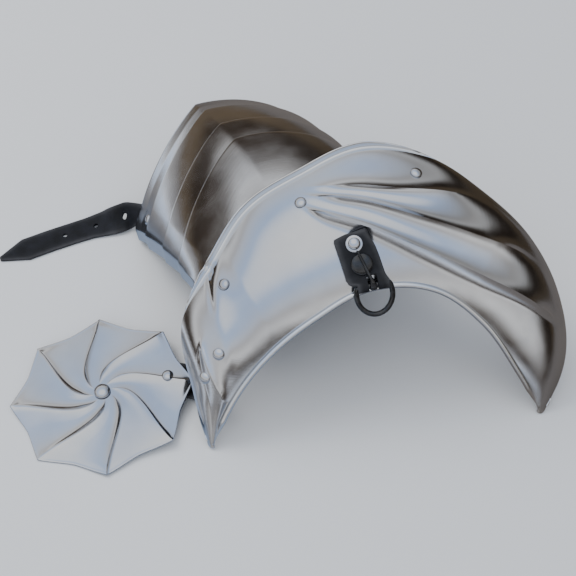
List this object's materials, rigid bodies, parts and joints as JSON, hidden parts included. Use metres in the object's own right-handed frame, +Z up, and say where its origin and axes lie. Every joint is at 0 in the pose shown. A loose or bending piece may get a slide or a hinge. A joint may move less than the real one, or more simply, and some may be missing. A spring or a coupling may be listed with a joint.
{
  "type": "pauldron",
  "caption": "Right shoulder pauldron of bare steel with arm lames, a fluted wing, a round-cornered disc on a strap, and a buckle.",
  "frame": {"origin": "middle of the box's base, on the surface that the part lies on", "axes": "+X towards the back wing, +Y along the arm away from the neck, +Z up; it lies open side down"},
  "size_m": [0.4316, 0.3964, 0.164],
  "materials": {
    "steel": "polished, faint brushing",
    "black_leather": "smooth black strap leather, slight sheen",
    "black_iron": "black lacquer, semi gloss"
  },
  "bodies": {
    "pauldron_body": {"main_plate": "steel", "lame_1": "steel", "lame_2": "steel", "lame_3": "steel", "lame_4": "steel", "besagew": "steel", "besagew_hub": "steel", "besagew_rivet": "steel", "arm_strap_rivet": "steel", "rivet_top": "steel", "rivet_back": "steel", "rivet_front": "steel", "rivet_wing_upper": "steel", "rivet_wing_lower": "steel", "tab_rivet": "steel", "tab_washer": "steel", "arm_strap": "black_leather", "besagew_strap": "black_leather", "leather_top": "black_leather", "leather_back": "black_leather", "leather_front": "black_leather", "buckle_tab": "black_leather", "tab_dome": "black_iron"},
    "buckle_frame_body": {"buckle_frame": "black_iron"},
    "buckle_tongue_body": {"buckle_tongue": "black_iron"}
  },
  "joints": [
    {"name": "buckle_frame_swing", "type": "hinge", "parent": "pauldron_body", "child": "buckle_frame_body", "pos_m": [0.0621, -0.10271, 0.11274], "axis": [-0.9648, 0.2362, -0.1156], "range_deg": [0, 75]},
    {"name": "buckle_tongue_swing", "type": "hinge", "parent": "pauldron_body", "child": "buckle_tongue_body", "pos_m": [0.0621, -0.10271, 0.11274], "axis": [0.9648, -0.2362, 0.1156], "range_deg": [0, 75]}
  ]
}
